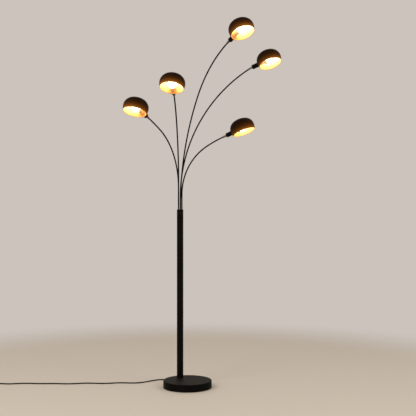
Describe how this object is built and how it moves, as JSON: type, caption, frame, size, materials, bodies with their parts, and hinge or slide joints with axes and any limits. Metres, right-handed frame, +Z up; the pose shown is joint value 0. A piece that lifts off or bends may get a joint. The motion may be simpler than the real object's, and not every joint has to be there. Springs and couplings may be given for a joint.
{
  "type": "tree floor lamp",
  "caption": "Floor lamp with a round weighted base, a slim column and curved arms that fan out to tiltable domed shades, each on a side-mounted neck.",
  "frame": {"origin": "centre of the round base's underside, on the floor", "axes": "+Z up along the column, +X to the lamp's right and -Y to its front, the side that the arms lean to"},
  "size_m": [1.6358, 0.5803, 1.9085],
  "materials": {
    "satin_black": "satin black powder coat",
    "cast_iron": "raw sand-cast iron",
    "foam": "black closed-cell foam",
    "zinc": "bright zinc plate",
    "black_steel": "black oxide",
    "nickel": "satin nickel, slightly warm",
    "holder": "pale heat-resistant plastic",
    "shade": "satin black outside, gold paint inside",
    "bulb": "opal, lit from inside",
    "cord": "matt black sheath",
    "terminal": "white moulding"
  },
  "bodies": {
    "stand": {"base_cover": "satin_black", "base_weight": "cast_iron", "base_pad": "foam", "column_foot": "zinc", "foot_washer": "zinc", "foot_nut": "zinc", "column_tube": "satin_black", "column_cap": "satin_black", "grub_screws": "black_steel", "terminal_block": "terminal", "inner_lead": "cord", "cord_gland": "cord", "cord": "cord", "cord_coil": "cord", "plug": "cord"},
    "arm_top": {"arm_tube_top": "satin_black", "knuckle_lower_top": "nickel"},
    "swivel_top": {"knuckle_upper_top": "nickel", "knuckle_fasteners_top": "nickel"},
    "head_top": {"neck_cup_top": "satin_black", "lampholder_top": "holder", "shade_ring_top": "holder", "shade_top": "shade", "bulb_top": "bulb"},
    "arm_right": {"arm_tube_right": "satin_black", "knuckle_lower_right": "nickel"},
    "swivel_right": {"knuckle_upper_right": "nickel", "knuckle_fasteners_right": "nickel"},
    "head_right": {"neck_cup_right": "satin_black", "lampholder_right": "holder", "shade_ring_right": "holder", "shade_right": "shade", "bulb_right": "bulb"},
    "arm_centre": {"arm_tube_centre": "satin_black", "knuckle_lower_centre": "nickel"},
    "swivel_centre": {"knuckle_upper_centre": "nickel", "knuckle_fasteners_centre": "nickel"},
    "head_centre": {"neck_cup_centre": "satin_black", "lampholder_centre": "holder", "shade_ring_centre": "holder", "shade_centre": "shade", "bulb_centre": "bulb"},
    "arm_left": {"arm_tube_left": "satin_black", "knuckle_lower_left": "nickel"},
    "swivel_left": {"knuckle_upper_left": "nickel", "knuckle_fasteners_left": "nickel"},
    "head_left": {"neck_cup_left": "satin_black", "lampholder_left": "holder", "shade_ring_left": "holder", "shade_left": "shade", "bulb_left": "bulb"},
    "arm_low": {"arm_tube_low": "satin_black", "knuckle_lower_low": "nickel"},
    "swivel_low": {"knuckle_upper_low": "nickel", "knuckle_fasteners_low": "nickel"},
    "head_low": {"neck_cup_low": "satin_black", "lampholder_low": "holder", "shade_ring_low": "holder", "shade_low": "shade", "bulb_low": "bulb"}
  },
  "joints": [
    {"name": "arm_turn_top", "type": "hinge", "parent": "stand", "child": "arm_top", "pos_m": [-0.04031, 0.04992, 0.955], "axis": [0, 0, 1], "range_deg": [-25, 25]},
    {"name": "head_tilt_top", "type": "hinge", "parent": "arm_top", "child": "swivel_top", "pos_m": [0.21275, -0.25166, 1.8035], "axis": [-0.766, -0.6428, 0], "range_deg": [-60, 60]},
    {"name": "head_turn_top", "type": "hinge", "parent": "swivel_top", "child": "head_top", "pos_m": [0.21988, -0.26016, 1.80927], "axis": [0.5702, -0.6795, 0.4617], "range_deg": [-150, 150]},
    {"name": "arm_turn_right", "type": "hinge", "parent": "stand", "child": "arm_right", "pos_m": [-0.04065, 0.06972, 0.955], "axis": [0, 0, 1], "range_deg": [-25, 25]},
    {"name": "head_tilt_right", "type": "hinge", "parent": "arm_right", "child": "swivel_right", "pos_m": [0.33318, -0.06634, 1.70155], "axis": [-0.342, -0.9397, 0], "range_deg": [-60, 60]},
    {"name": "head_turn_right", "type": "hinge", "parent": "swivel_right", "child": "head_right", "pos_m": [0.34411, -0.07032, 1.70613], "axis": [0.8743, -0.3182, 0.3665], "range_deg": [-150, 150]},
    {"name": "arm_turn_centre", "type": "hinge", "parent": "stand", "child": "arm_centre", "pos_m": [-0.05044, 0.06495, 0.955], "axis": [0, 0, 1], "range_deg": [-25, 25]},
    {"name": "head_tilt_centre", "type": "hinge", "parent": "arm_centre", "child": "swivel_centre", "pos_m": [-0.06313, -0.22571, 1.54113], "axis": [-0.999, 0.0436, 0], "range_deg": [-60, 60]},
    {"name": "head_turn_centre", "type": "hinge", "parent": "swivel_centre", "child": "head_centre", "pos_m": [-0.06364, -0.23729, 1.54581], "axis": [-0.0404, -0.9263, 0.3746], "range_deg": [-150, 150]},
    {"name": "arm_turn_left", "type": "hinge", "parent": "stand", "child": "arm_left", "pos_m": [-0.05026, 0.05435, 0.955], "axis": [0, 0, 1], "range_deg": [-25, 25]},
    {"name": "head_tilt_left", "type": "hinge", "parent": "arm_left", "child": "swivel_left", "pos_m": [-0.19986, -0.19463, 1.42887], "axis": [-0.8572, 0.515, 0], "range_deg": [-60, 60]},
    {"name": "head_turn_left", "type": "hinge", "parent": "swivel_left", "child": "head_left", "pos_m": [-0.20587, -0.20463, 1.43335], "axis": [-0.4808, -0.8002, 0.3584], "range_deg": [-150, 150]},
    {"name": "arm_turn_low", "type": "hinge", "parent": "stand", "child": "arm_low", "pos_m": [-0.03209, 0.05772, 0.955], "axis": [0, 0, 1], "range_deg": [-25, 25]},
    {"name": "head_tilt_low", "type": "hinge", "parent": "arm_low", "child": "swivel_low", "pos_m": [0.19826, -0.05463, 1.34258], "axis": [-0.4384, -0.8988, 0], "range_deg": [-60, 60]},
    {"name": "head_turn_low", "type": "hinge", "parent": "swivel_low", "child": "head_low", "pos_m": [0.20868, -0.05971, 1.34726], "axis": [0.8333, -0.4065, 0.3746], "range_deg": [-150, 150]}
  ]
}
